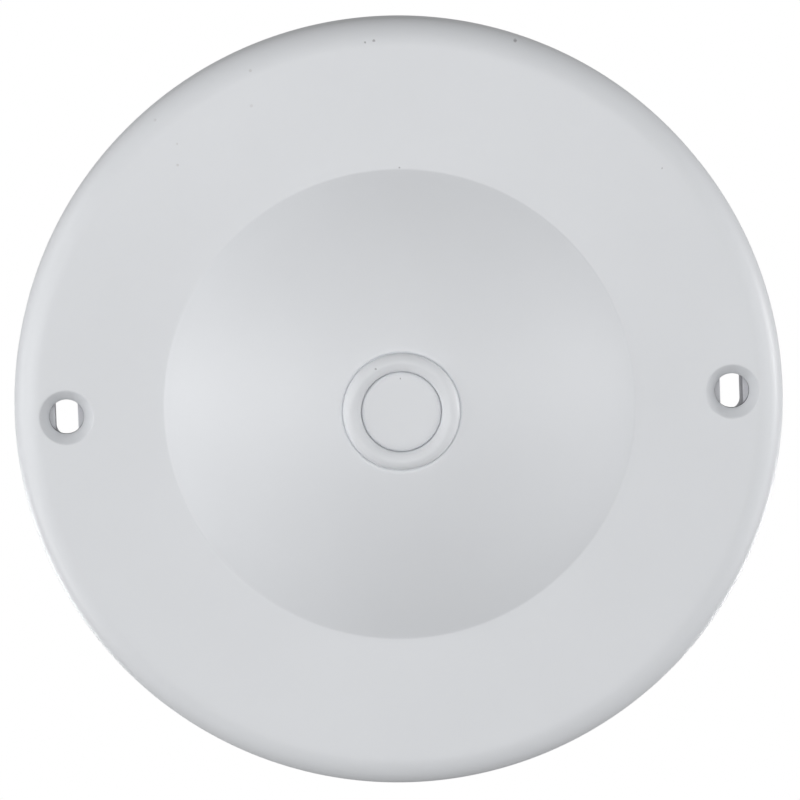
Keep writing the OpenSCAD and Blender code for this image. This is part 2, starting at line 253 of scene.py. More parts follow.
def build_skin(verts, faces, prof, flat, lip, block_r, flip, wave):
    """One side of the shell: a polar grid with two patches of rings around the screw holes, in the radii block_r.
    Returns the grid's first and last rows and each hole's last ring."""
    n = len(prof)
    base = len(verts)
    for i in range(SEG):
        a = TAU * i / SEG
        for r, z in prof:
            x, y = r * math.cos(a), r * math.sin(a)
            verts.append((x, y, z + wave(x, y, r)))
    radii = [p[0] for p in prof]
    lo = max(k for k in range(n) if radii[k] <= block_r[0])
    hi = min(k for k in range(lo + 1, n) if radii[k] >= block_r[1])

    def surface(r):
        return float(np.interp(r, radii[lo:hi + 1], [p[1] for p in prof][lo:hi + 1]))

    def vid(i, k):
        return base + (i % SEG) * n + k

    def ring_row(hx, reach, height):
        """A row of points around the hole at hx: reach gives their radius, height their level."""
        row = []
        for b in loop:
            bx, by, _ = verts[b]
            d = math.hypot(bx - hx, by)
            rho = reach(d)
            x, y = hx + (bx - hx) / d * rho, by / d * rho
            verts.append((x, y, height(x, y, math.hypot(x, y))))
            row.append(len(verts) - 1)
        return row

    blocked = set()
    rims = []
    for side in (0, SEG // 2):
        c0, c1 = side - PATCH_COLS, side + PATCH_COLS
        for i in range(c0, c1):
            for k in range(lo, hi):
                blocked.add((i % SEG, k))
        loop = [vid(i, lo) for i in range(c0, c1)]
        loop += [vid(c1, k) for k in range(lo, hi)]
        loop += [vid(i, hi) for i in range(c1, c0, -1)]
        loop += [vid(c0, k) for k in range(hi, lo, -1)]
        hx = HOLE_X if side == 0 else -HOLE_X
        rows = [ring_row(hx, lambda d: d + (lip[0][0] - d) * s, lambda x, y, r: surface(r) + wave(x, y, r))
                for s in PATCH_STEPS]
        for rho, z in lip[1:]:
            fade = max(0.0, 1 - (flat - z) / 0.5)
            rows.append(ring_row(hx, lambda d: rho, lambda x, y, r: z + (surface(r) - flat) * fade))
        prev = loop
        for row in rows:
            stitch(faces, prev, row, flip)
            prev = row
        rims.append(prev)
    for i in range(SEG):
        for k in range(n - 1):
            if (i, k) not in blocked:
                q = (vid(i, k), vid(i, k + 1), vid(i + 1, k + 1), vid(i + 1, k))
                faces.append(q if not flip else q[::-1])
    return [vid(i, 0) for i in range(SEG)], [vid(i, n - 1) for i in range(SEG)], rims


def stitch(faces, a, b, flip=False):
    m = len(a)
    for i in range(m):
        j = (i + 1) % m
        q = (a[i], a[j], b[j], b[i])
        faces.append(q if not flip else q[::-1])


def circle_row(verts, r, z):
    """A full circle of points, added to verts."""
    verts.extend((r * math.cos(TAU * i / SEG), r * math.sin(TAU * i / SEG), z) for i in range(SEG))
    return list(range(len(verts) - SEG, len(verts)))


def build_cover():
    verts, faces = [], []
    land = LAND_TOP
    outer = skin_outline(BALL, FLANGE, EDGE, COVER_R, CREASE, land, GROOVE)
    inner = skin_outline(BALL - SHEET, FLANGE - SHEET, EDGE - SHEET, COVER_R - SHEET, CREASE + 0.5, land - SHEET)
    pillar = FLANGE - SINK_DEPTH - 0.8
    touch = LIP * math.tan(math.radians(24.5))
    lip_c = (SINK_R + touch, FLANGE - LIP)
    lip = [(SINK_R + touch, FLANGE)]
    lip += [(lip_c[0] - LIP * math.sin(math.radians(t)), lip_c[1] + LIP * math.cos(math.radians(t)))
            for t in (10, 20, 30, 40, 49)]
    cone_end = (HOLE_R, FLANGE - SINK_DEPTH)
    for s in (0.34, 0.67, 0.93):
        lip.append((lip[5][0] + (cone_end[0] - lip[5][0]) * s, lip[5][1] + (cone_end[1] - lip[5][1]) * s))
    lip += [(HOLE_R + 0.02, cone_end[1] - 0.06), (HOLE_R, cone_end[1] - 0.16), (HOLE_R, pillar + 0.08),
            (HOLE_R + 0.05, pillar)]
    under = [(SINK_R + 1.75, FLANGE - SHEET), (SINK_R + 1.25, FLANGE - SHEET - 0.12),
             (SINK_R + 1.0, FLANGE - SHEET - 0.4), (HOLE_R + 0.98, pillar + 0.1), (HOLE_R + 0.85, pillar)]

    def wave_out(x, y, r):
        fade = min(1.0, max(0.0, (r - 9.6) / 3)) * min(1.0, max(0.0, (58.2 - r) / 3))
        return ripple(x, y) * fade

    f1, l1, h1 = build_skin(verts, faces, outer, FLANGE, lip, (44.9, 57.0), False, wave_out)
    f2, l2, h2 = build_skin(verts, faces, inner, FLANGE - SHEET, under, (44.0, 56.5), True, lambda x, y, r: 0.0)
    for a, b in zip(h1, h2):
        stitch(faces, a, b)
    # edge of the central opening
    rim = [f1] + [circle_row(verts, OPENING_R, z) for z in (land - 0.34, land - SHEET + 0.05)] + [f2]
    for a, b in zip(rim, rim[1:]):
        stitch(faces, a, b, True)
    # rim wall and the lip rolled in behind it
    wall_out = [(COVER_R, z) for z in (5.2, 3.4, 1.6, 0.7)] + arc(COVER_R - 0.35, 0.35, 0.35, 0, -90, 5)
    lip_in = [(r, 0.0) for r in (58.0, 57.2, 56.6)] + arc(56.25 + 0.2, 0.2, 0.2, 270, 180, 3)
    lip_in += arc(56.25 + 0.2, 0.7, 0.2, 180, 90, 3)
    lip_in += [(57.2, 0.9)] + arc(57.75 - 0.4, 1.3, 0.4, -90, 0, 4) + [(57.75, z) for z in (3.0, 5.0)]
    chain = [l1] + [circle_row(verts, r, z) for r, z in wall_out + lip_in] + [l2]
    for a, b in zip(chain, chain[1:]):
        stitch(faces, a, b)
    return make_object("cover_shell", verts, faces, sharp_deg=55)


cover = finish_piece(build_cover(), "housing", "cover_enamel", "front_cover")


# ---------- raised ring, and the sleeve under it ----------

def thread_profile(r_major, r_minor, pitch, z0, z1):
    """Crests and roots of a shallow thread as an (r, z) chain, from z1 down to z0."""
    out, z = [], z1
    while z - pitch > z0:
        out += [(r_minor, z), (r_minor, z - 0.15 * pitch), (r_major, z - 0.5 * pitch), (r_major, z - 0.62 * pitch)]
        z -= pitch
    out.append((r_minor, z0))
    return out


def smooth_chain(pts, steps):
    """A Catmull-Rom curve through (r, z) points."""
    out = []
    ext = [pts[0]] + pts + [pts[-1]]
    for p0, p1, p2, p3 in zip(ext, ext[1:], ext[2:], ext[3:]):
        for k in range(steps):
            t = k / steps
            out.append(tuple(0.5 * (2 * b + (c - a) * t + (2 * a - 5 * b + 4 * c - d) * t * t
                                    + (3 * b - a - 3 * c + d) * t ** 3) for a, b, c, d in zip(p0, p1, p2, p3)))
    return out + [pts[-1]]


def build_ring():
    foot, (bottom, crown) = LAND_TOP, depth("element_sleeve")
    r_out, pocket = half_width("element_sleeve"), 6.12
    seat = crown - 0.8 - 0.8 - 0.02  # under the disc, which is sunk by its own thickness
    # two slopes with a soft crest between them, steep at both feet
    bead = smooth_chain([(pocket, crown - 0.95), (pocket + 0.04, crown - 0.72), (pocket + 0.17, crown - 0.50),
                         (pocket + 0.45, crown - 0.29), (pocket + 0.85, crown - 0.12), (pocket + 1.28, crown),
                         (r_out - 1.15, crown - 0.03), (r_out - 0.75, crown - 0.20), (r_out - 0.42, crown - 0.45),
                         (r_out - 0.20, crown - 0.75), (r_out - 0.11, crown - 1.05), (r_out - 0.09, foot + 0.1)], 4)
    bead += [(r_out - 0.10, foot - 0.12), (r_out - 0.22, foot - 0.22)]
    prof = [(2.23, seat - 0.75), (2.28, seat - 0.05), (2.33, seat), (pocket - 0.02, seat), (pocket, seat + 0.04)]
    prof += bead
    prof += [(7.3, foot - 0.22), (6.95, foot - 0.22)]
    prof += [(6.9, foot - 1.2)] + thread_profile(6.9, 6.55, 0.9, bottom + 0.3, foot - 1.35)
    prof += [(6.4, bottom), (4.55, bottom), (4.4, bottom + 0.15), (4.4, seat - 0.85), (4.35, seat - 0.8),
             (2.28, seat - 0.8)]
    return lathe("collector_ring", prof, seg=256, sharp_deg=38)


finish_piece(build_ring(), "housing", "ring_enamel", "element_sleeve")


# ---------- heat collector disc ----------

def build_disc():
    low, top = depth("collector_disc")
    r = half_width("collector_disc")
    under = top - 0.8
    prof = [(0.0, top - 0.01)]
    for i in range(1, 13):
        q = (r - 0.95) * i / 12
        prof.append((q, top - 0.01 + 0.01 * (q / (r - 0.95)) ** 2))
    # the edge falls away gently before it turns down
    prof += [(r - 0.7, top - 0.015), (r - 0.5, top - 0.045), (r - 0.34, top - 0.09), (r - 0.2, top - 0.165),
             (r - 0.1, top - 0.26), (r - 0.035, top - 0.37), (r, top - 0.5)]
    prof += [(r, under + 0.12), (r - 0.12, under), (2.35, under), (2.2, under - 0.1), (2.2, low + 0.15), (2.05, low),
             (1.68, low), (1.6, low + 0.1), (1.6, under - 0.42), (0.0, under - 0.42)]
    return lathe("collector_plate", prof, seg=192, sharp_deg=38)


finish_piece(build_disc(), "collector", "disc_enamel", "collector_disc")


# ---------- small hardware ----------

def evaluated(obj):
    """Applies an object's modifiers to its mesh."""
    mesh = bpy.data.meshes.new_from_object(obj.evaluated_get(bpy.context.evaluated_depsgraph_get()))
    mesh.name = obj.name
    old = obj.data
    obj.modifiers.clear()
    obj.data = mesh
    bpy.data.meshes.remove(old)


def cut(obj, size, at, turn=0.0):
    """Cuts a box out of a piece: size and place in the drawing frame, turned about the room axis."""
    c, s = math.cos(turn), math.sin(turn)
    verts = []
    for dx in (-0.5, 0.5):
        for dy in (-0.5, 0.5):
            for dz in (-0.5, 0.5):
                x, y = dx * size[0], dy * size[1]
                verts.append((at[0] + x * c - y * s, at[1] + x * s + y * c, at[2] + dz * size[2]))
    faces = [(0, 1, 3, 2), (4, 6, 7, 5), (0, 4, 5, 1), (2, 3, 7, 6), (0, 2, 6, 4), (1, 5, 7, 3)]
    cutter = make_object("cutter", verts, faces)
    mod = obj.modifiers.new("cut", "BOOLEAN")
    mod.operation = "DIFFERENCE"
    mod.solver = "EXACT"
    mod.object = cutter
    bpy.context.view_layer.update()
    evaluated(obj)
    bpy.data.objects.remove(cutter)


def edges(obj, width):
    """Rounds the sharp edges of a piece or a CAD node, which keeps its own mesh."""
    mod = obj.modifiers.new("edges", "BEVEL")
    mod.width = width * MM
    mod.segments = 2
    mod.limit_method = "ANGLE"
    mod.angle_limit = math.radians(32)
    mod.use_clamp_overlap = True
    mod.harden_normals = True


def join(name, objs):
    """One object from several that share a finish."""
    bm = bmesh.new()
    for o in objs:
        bm.from_mesh(o.data)
    for o in objs:
        bpy.data.objects.remove(o)
    mesh = bpy.data.meshes.new(name)
    bm.to_mesh(mesh)
    bm.free()
    return add_object(name, mesh)


def thread(name, at, r_major, r_minor, pitch, z0, z1, steps=28):
    """A screw thread between z0 and z1, closed at both ends."""
    cols = ((0.0, 0), (0.14, 0), (0.46, 1), (0.56, 1), (0.88, 0))
    rows = int(steps * ((z1 - z0) / pitch + 2)) + 1
    verts, faces = [], []
    for i in range(rows):
        a = TAU * i / steps
        for share, high in cols:
            z = z0 + pitch * (i / steps - 1 + share)
            r = r_major if high else r_minor
            if z <= z0 or z >= z1:
                z, r = min(max(z, z0), z1), r_minor
            verts.append((at[0] + r * math.cos(a), at[1] + r * math.sin(a), z))
    n = len(cols)
    for i in range(rows - 1):
        for k in range(n - 1):
            faces.append((i * n + k, (i + 1) * n + k, (i + 1) * n + k + 1, i * n + k + 1))
        if i + 1 + steps < rows:
            faces.append((i * n + n - 1, (i + 1) * n + n - 1, (i + 1 + steps) * n, (i + steps) * n))
    for z in (z0, z1):
        hub = len(verts)
        verts.append((at[0], at[1], z))
        for i in range(steps):
            a, b = TAU * i / steps, TAU * (i + 1) / steps
            verts += [(at[0] + r_minor * math.cos(t), at[1] + r_minor * math.sin(t), z) for t in (a, b)]
            faces.append((hub, len(verts) - 2, len(verts) - 1))
    mesh = bpy.data.meshes.new(name)
    mesh.from_pydata([world(v) for v in verts], [], faces)
    bm = bmesh.new()
    bm.from_mesh(mesh)
    bmesh.ops.remove_doubles(bm, verts=bm.verts, dist=2e-7)
    bmesh.ops.dissolve_degenerate(bm, edges=bm.edges, dist=1e-7)
    bmesh.ops.recalc_face_normals(bm, faces=bm.faces)
    bm.to_mesh(mesh)
    bm.free()
    mesh.validate()
    obj = add_object(name, mesh)
    set_smooth(obj, 35)
    return obj


def pan_head(name, at, r, h, z_base, out, slot, seg=64):
    """A crowned screw head on z_base. `out` is -1 where it faces the back, 1 where it faces the room."""
    t = z_base + out * h
    prof = [(0.0, t), (0.42 * r, t - out * 0.02 * h), (0.66 * r, t - out * 0.10 * h), (0.82 * r, t - out * 0.24 * h),
            (0.93 * r, t - out * 0.44 * h), (0.985 * r, t - out * 0.64 * h), (r, t - out * 0.80 * h),
            (r, z_base + out * 0.07 * h), (0.965 * r, z_base + out * 0.01), (0.0, z_base + out * 0.01)]
    head = lathe(name, prof, at, seg, 30)
    width, deep, turn, cross = slot
    cut(head, (2.4 * r, width, 2 * deep), (at[0], at[1], t), turn)
    if cross:
        cut(head, (width * 0.95, 1.15 * r, 2.2 * deep), (at[0], at[1], t), turn)
    set_smooth(head, 30)
    edges(head, 0.06)
    return head


def hex_nut(name, at, flats, bore, z0, z1, chamfer=(True, True)):
    """A hexagon nut with its corners turned off at 30 degrees and a bevelled bore."""
    seg = 96
    circle = flats / 2 * 0.965
    verts, faces = [], []
    c = 0.25
    for i in range(seg):
        a = TAU * i / seg
        side = flats / 2 / math.cos(math.radians((360 * i / seg) % 60 - 30))
        fall = (side - circle) * math.tan(math.radians(30))
        low, high = (fall if chamfer[0] else 0.04), (fall if chamfer[1] else 0.04)
        col = [(bore, z0 + c), (bore + c, z0), (circle, z0), (side - 0.02, z0 + low), (side, z0 + low + 0.05),
               (side, z1 - high - 0.05), (side - 0.02, z1 - high), (circle, z1), (bore + c, z1), (bore, z1 - c)]
        verts += [(at[0] + r * math.cos(a), at[1] + r * math.sin(a), z) for r, z in col]
    n = 10
    for i in range(seg):
        j = (i + 1) % seg
        faces += [(i * n + k, j * n + k, j * n + (k + 1) % n, i * n + (k + 1) % n) for k in range(n)]
    return make_object(name, verts, faces, sharp_deg=28)


def coil(name, radius, wire, z0, z1, turns, steps=40, sides=14):
    """A round-wire spring whose end turns lie flat."""
    count = int(turns * steps)
    verts, faces = [], []
    free = turns - 1.3
    for i in range(count + 1):
        t = i / steps
        share = min(1.0, max(0.0, (t - 0.65) / free))
        share = share * share * (3 - 2 * share) * 0.25 + share * 0.75
        lift = 0.9 * (z1 - z0 - wire) * share + 0.1 * (z1 - z0 - wire) * t / turns
        a = TAU * t
        for k in range(sides):
            b = TAU * k / sides
            r = radius + wire / 2 * math.cos(b)
            verts.append((r * math.cos(a), r * math.sin(a), z0 + wire / 2 + lift + wire / 2 * math.sin(b)))
    for i in range(count):
        for k in range(sides):
            m = (k + 1) % sides
            faces.append((i * sides + k, (i + 1) * sides + k, (i + 1) * sides + m, i * sides + m))
    faces += [tuple(range(sides)), tuple(count * sides + k for k in range(sides))]
    return make_object(name, verts, faces, sharp_deg=50)


def solid(z0, z1, r, edge=0.12, hole=0.0):
    """Profile of a disc, or a ring where hole is given, with softened corners."""
    prof = [(r - edge, z0), (r - 0.3 * edge, z0 + 0.3 * edge), (r, z0 + edge), (r, z1 - edge),
            (r - 0.3 * edge, z1 - 0.3 * edge), (r - edge, z1)]
    if hole:
        return prof + [(hole + edge, z1), (hole, z1 - edge), (hole, z0 + edge), (hole + edge, z0)]
    return prof + [(0.0, z1), (0.0, z0)]


# ---------- fixed-temperature element ----------

low, high = depth("sleeve_washer")
finish_piece(lathe("fibre_washer_ring", solid(low, high, 8.8, 0.1, 6.93), seg=128), "housing", "fibre_washer",
             "sleeve_washer")

low, high = depth("sleeve_nut")
finish_piece(hex_nut("sleeve_hex_nut", (0, 0), 18, 6.93, low, high, (True, False)), "housing", "brass", "sleeve_nut")

low, high = depth("sleeve_plug")
plug = lathe("sleeve_end_plug", solid(low, high, 4.38, 0.2, 1.57), seg=96)
cut(plug, (12, 0.9, 1.6), (0, 0, low))
set_smooth(plug, 30)
finish_piece(plug, "housing", "brass", "sleeve_plug")

low, high = depth("eutectic_ring")
solder = [(1.03, low), (1.3, low - 0.02), (1.55, low + 0.1), (1.575, low + 0.5), (1.575, high - 0.5),
          (1.5, high - 0.12), (1.3, high - 0.02), (1.05, high), (1.03, high - 0.2), (1.03, low + 0.2)]


def slump(r, z, a):
    """The fillet's uneven outside."""
    return (r - 0.05 * noise.noise(Vector((3 * math.cos(a), 3 * math.sin(a), z))) ** 2 if r > 1.2 else r), z


finish_piece(lathe("eutectic_fillet", solder, seg=48, wobble=slump), "collector", "fusible_alloy", "eutectic_ring")

low, high = depth("plunger")
stem = [(0.0, low), (0.85, low), (1.0, low + 0.1), (1.42, low + 0.45), (1.5, low + 0.65), (1.5, 15.0), (1.6, 15.157),
        (4.1, 15.157), (4.3, 15.35), (4.3, 15.96), (4.1, 16.157), (2.75, 16.157), (2.65, 16.09), (1.15, 16.09),
        (1.0, 16.25), (1.0, high - 0.2), (0.85, high), (0.0, high)]
finish_piece(lathe("plunger_stem", stem, seg=96), "plunger", "brass", "plunger")

low, high = depth("plunger_spring")
spring = coil("plunger_coil", 3.2, 0.6, low, high, 3.5)
bend_piece(spring, "spring_steel", "plunger_spring")

# ---------- rate-of-rise diaphragm ----------

low, high = depth("chamber_gasket")
bulge = [(36.45, low), (36.3, low + 0.2), (36.26, low + 0.6), (36.3, high - 0.2), (36.45, high), (37.1, high),
         (37.3, high - 0.05), (38.1, high - 0.05), (38.3, high), (38.95, high), (39.1, high - 0.2),
         (39.14, low + 0.6), (39.1, low + 0.2), (38.95, low), (38.3, low), (38.1, low + 0.05), (37.3, low + 0.05),
         (37.1, low)]
finish_piece(lathe("chamber_seal", bulge, seg=192), "housing", "seal_rubber", "chamber_gasket")

# The thin skin is one sheet; it is made here in sectors around its axis.
SECTORS = 12


def skin_sector(i):
    """A slice of the waved skin between the clamped rim and the button's neck."""
    low = depth("diaphragm_gasket")[1]
    line = [(0.84, low)]
    for k in range(65):
        r = 3.0 + (12.2 - 3.0) * k / 64
        line.append((r, low + 0.35 * (1 - math.cos(TAU * 4 * k / 64)) / 2))
    line += [(12.8, low), (14.0, low), (15.4, low), (16.5, low), (17.6, low)]
    prof = line + [(r, z + 0.2) for r, z in reversed(line)]
    n, steps = len(prof), 10
    verts, faces = [], []
    for j in range(steps + 1):
        a = TAU * (i - 0.5 + j / steps) / SECTORS
        verts += [(r * math.cos(a), r * math.sin(a), z) for r, z in prof]
    for j in range(steps):
        faces += [(j * n + k, (j + 1) * n + k, (j + 1) * n + (k + 1) % n, j * n + (k + 1) % n) for k in range(n)]
    half = n // 2
    for j in (0, steps):
        faces += [(j * n + k, j * n + k + 1, j * n + n - 2 - k, j * n + n - 1 - k) for k in range(half - 1)]
    return make_object(f"diaphragm_skin_{i + 1:02d}", verts, faces, sharp_deg=60)


skins = [skin_sector(i) for i in range(SECTORS)]
for i, skin in enumerate(skins):
    a = TAU * i / SECTORS
    bend_piece(skin, "phosphor_bronze", "diaphragm")

low, high = depth("diaphragm_button")
knob = [(0.0, high), (1.9, high), (2.2, high - 0.06), (2.4, high - 0.22), (2.4, 3.1), (0.82, 3.1), (0.82, 2.9),
        (1.5, 2.9), (1.5, low + 0.5), (1.42, low + 0.32), (1.15, low + 0.12), (0.8, low + 0.05), (0.4, low + 0.015),
        (0.0, low)]
finish_piece(lathe("centre_button", knob, seg=72), "diaphragm_centre", "brass", "diaphragm_button")

clamp_top = depth("diaphragm_ring")[1]
screws = []
for i in range(6):
    a = TAU * i / 6
    p = (15.4 * math.cos(a), 15.4 * math.sin(a))
    screws.append(pan_head(f"ring_screw_head_{i}", p, 1.8, 1.08, clamp_top, 1, (0.5, 0.5, 0.7 + 1.9 * i, False), 40))
    evaluated(screws[-1])
    screws.append(thread(f"ring_screw_thread_{i}", p, 0.73, 0.6, 0.5, 1.12, 2.4, 16))
    screws.append(lathe(f"ring_screw_shank_{i}", solid(2.38, clamp_top + 0.1, 0.93, 0.05), p, 24))
finish_piece(join("diaphragm_screw_set", screws), "housing", "zinc_steel", "diaphragm_screws")

# ---------- contacts ----------

low, high = depth("moving_contact")
at = centre("moving_contact")
tip = [(0.0, low), (0.5, low + 0.02), (0.95, low + 0.12), (1.15, low + 0.3), (1.2, -0.98), (1.16, -0.88), (0.6, -0.88),
       (0.6, -0.56), (0.98, -0.56), (0.96, high - 0.1), (0.75, high - 0.02), (0.0, high)]
finish_piece(lathe("moving_contact_tip", tip, at, 48), "contact_arm", "contact_silver", "moving_contact")

low, high = depth("fixed_contact")
finish_piece(lathe("fixed_contact_tip", [(0.0, high), (0.6, high - 0.02), (0.95, high - 0.1), (1.1, high - 0.26),
                                         (1.1, low + 0.06), (1.04, low), (0.0, low)], at, 48),
             "fixed_contact", "contact_silver", "fixed_contact")

low, high = depth("blade_rivet")
post = centre("blade_rivet")
finish_piece(lathe("leaf_rivet", [(0.4, high - 0.3), (0.48, high - 0.16), (0.8, high - 0.03), (1.2, high),
                                  (1.6, high - 0.08), (1.9, high - 0.25), (2.0, low + 0.04), (1.96, low), (0.4, low)],
                   post, 48), "housing", "brass", "blade_rivet")

low, high = depth("calibration_screw")
adjust = [thread("adjuster_thread", at, 1.25, 1.06, 0.45, low + 0.9, high, 28)]
adjust.append(lathe("adjuster_end", solid(low, low + 0.95, 1.2, 0.1), at, 40))
cut(adjust[1], (4, 0.6, 1.8), (at[0], at[1], low))
set_smooth(adjust[1], 30)
finish_piece(join("calibration_adjuster", adjust), "calibration_screw", "zinc_steel", "calibration_screw")

low, high = depth("calibration_nut")
finish_piece(hex_nut("calibration_lock_nut", at, 5, 1.27, low, high, (True, False)), "housing", "brass",
             "calibration_nut")

# a blob of wax poured over the calibration hole: low, uneven and slightly sunk in the middle
low, high = depth("calibration_plug")


def melt(r, z, a):
    if z > -14.0:
        return r, z
    lump = noise.noise(Vector((1.3 * math.cos(a), 1.3 * math.sin(a), 0.4 * r)))
    return r * (1 + 0.045 * (lump - 0.6)) if r > 2.7 else r, min(-14.0, z + 0.16 * (0.5 + lump) * (r / 3.4))


wax = [(0.0, low + 0.28), (0.7, low + 0.22), (1.5, low + 0.06), (2.1, low + 0.02), (2.7, low + 0.16), (3.1, low + 0.42),
       (3.34, low + 0.8), (3.4, -14.12), (3.36, -14.02), (2.57, -14.0), (2.57, high + 0.1), (2.4, high), (0.0, high)]
finish_piece(lathe("wax_seal", wax, at, 72, 60, melt), "housing", "sealing_wax", "calibration_plug")

# ---------- rear terminals ----------

for i in range(1, 5):
    node = f"terminal_screw_{i}"
    low, high = depth(node)
    spot = centre(node)
    seat = depth(f"terminal_clamp_{i}")[1] - 1.0
    turn = (0.35, 1.9, 1.2, 2.7)[i - 1]
    head = pan_head(f"binding_screw_head_{i}", spot, 3.4, 2.16, seat, -1, (0.95, 0.95, turn, True))
    evaluated(head)
    # a flat washer face under the head, and the threaded shank
    shank = thread(f"binding_screw_thread_{i}", spot, 1.7, 1.36, 0.794, seat - 0.05, high - 0.35)
    tail = lathe(f"binding_screw_tip_{i}", [(0.0, high), (1.1, high), (1.2, high - 0.1), (1.34, high - 0.36),
                                            (0.0, high - 0.4)], spot, 40)
    finish_piece(join(f"binding_screw_{i}", [head, shank, tail]), f"screw_{i}", "zinc_steel", node)


def wire_clamp(i):
    """A pressed clamp plate: turned-down ends, thinned edges round the hole and the outline, and teeth that grip the
    wire.
    """
    node = f"terminal_clamp_{i}"
    lo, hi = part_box(node)
    x0, x1, y0, y1 = lo.x / MM, hi.x / MM, lo.z / MM, hi.z / MM
    cx, cy = (x0 + x1) / 2, (y0 + y1) / 2
    top = depth(node)[1]
    face = top - 1.0
    seg, hole = 96, 1.74
    hx, hy, corner = (x1 - x0) / 2, (y1 - y0) / 2, 0.7
    verts, faces = [], []

    def edge_point(a):
        """Where a ray from the centre meets the rounded rectangle."""
        c, s = math.cos(a), math.sin(a)
        lo_t, hi_t = 0.0, 12.0
        for _ in range(40):
            t = (lo_t + hi_t) / 2
            dx, dy = abs(t * c) - hx + corner, abs(t * s) - hy + corner
            outside = math.hypot(max(dx, 0), max(dy, 0)) + min(max(dx, dy), 0) > corner
            lo_t, hi_t = (lo_t, t) if outside else (t, hi_t)
        return lo_t

    def teeth(x, y):
        """Height of the saw teeth on the wire side, away from the hole."""
        saw = abs(((y - cy) / 0.9) % 1.0 - 0.5) * 2
        away = min(1.0, max(0.0, (abs(x - cx) - 2.0) / 0.5))
        inside = min(1.0, max(0.0, (hx - 0.3 - abs(x - cx)) / 0.25))
        inside *= min(1.0, max(0.0, (hy - 0.4 - abs(y - cy)) / 0.3))
        return 0.3 * saw * away * inside

    def lip(y):
        """Height of the turned-down ends on the screw's side."""
        t = min(1.0, max(0.0, (abs(y - cy) - (hy - 1.05)) / 0.3))
        return 0.6 * t * t * (3 - 2 * t)

    shares = [0, 0.04, 0.1, 0.18, 0.26, 0.34, 0.42, 0.5, 0.58, 0.66, 0.74, 0.8, 0.86, 0.91, 0.95, 0.98, 1.0]
    for a_i in range(seg):
        a = TAU * a_i / seg
        end = edge_point(a)
        col = [hole + (end - hole) * s for s in shares]
        for r in col:
            x, y = cx + r * math.cos(a), cy + r * math.sin(a)
            soft = 0.12 if r in (col[0], col[-1]) else 0.0
            verts.append((x, y, face - lip(y) + soft))
        for r in reversed(col):
            x, y = cx + r * math.cos(a), cy + r * math.sin(a)
            soft = 0.12 if r in (col[0], col[-1]) else 0.0
            verts.append((x, y, top - teeth(x, y) - soft))
    n = 2 * len(shares)
    for a_i in range(seg):
        b_i = (a_i + 1) % seg
        faces += [(a_i * n + k, b_i * n + k, b_i * n + (k + 1) % n, a_i * n + (k + 1) % n) for k in range(n)]
    return make_object(f"wire_clamp_{i}", verts, faces, sharp_deg=32)


for i in range(1, 5):
    finish_piece(wire_clamp(i), f"clamp_{i}", "zinc_steel", f"terminal_clamp_{i}")

low, high = depth("block_screws")
holders = []
for i in range(4):
    a = TAU * (i + 0.5) / 4
    p = (25 * math.cos(a), 25 * math.sin(a))
    head = pan_head(f"block_screw_head_{i}", p, 2.7, 1.46, -12.4, -1, (0.8, 0.7, (0.5, 2.2, 1.4, 0.1)[i], True), 56)
    evaluated(head)
    holders += [head, thread(f"block_screw_thread_{i}", p, 1.18, 0.95, 0.8, -12.42, high, 20)]
finish_piece(join("block_screw_set", holders), "housing", "zinc_steel", "block_screws")

# ---------- vent ----------

low, high = depth("vent_fitting")
spot = centre("vent_fitting")
knurl = [(0.3, low), (1.7, low), (1.98, low + 0.25), (1.98, 2.38), (3.0, 2.42), (3.0, 2.9), (2.86, 3.0), (3.0, 3.1),
         (3.0, high - 0.25), (2.8, high), (1.95, high), (1.7, high - 0.2), (1.7, 3.0), (0.3, 3.0)]
finish_piece(lathe("vent_bush", knurl, spot, 96, 30,
                   lambda r, z, a: (r - (0.06 if r > 2.9 and math.cos(32 * a) < 0 else 0), z)),
             "housing", "brass", "vent_fitting")
low, high = depth("vent_filter")
finish_piece(lathe("vent_felt_disc", [(0.0, high), (0.9, high - 0.03), (1.4, high - 0.14), (1.62, high - 0.35),
                                      (1.68, high - 0.6), (1.68, low + 0.1), (1.6, low), (0.0, low)], spot, 48, 50,
                   lambda r, z, a: (r, z + (0.03 * noise.noise(Vector((4 * r * math.cos(a), 4 * r * math.sin(a), z)))
                                            if r and z > 4 else 0))),
             "housing", "vent_felt", "vent_filter")

# ---------- contact leaf, which bends between its post and the moving contact ----------

leaf_low, leaf_high = depth("contact_blade")


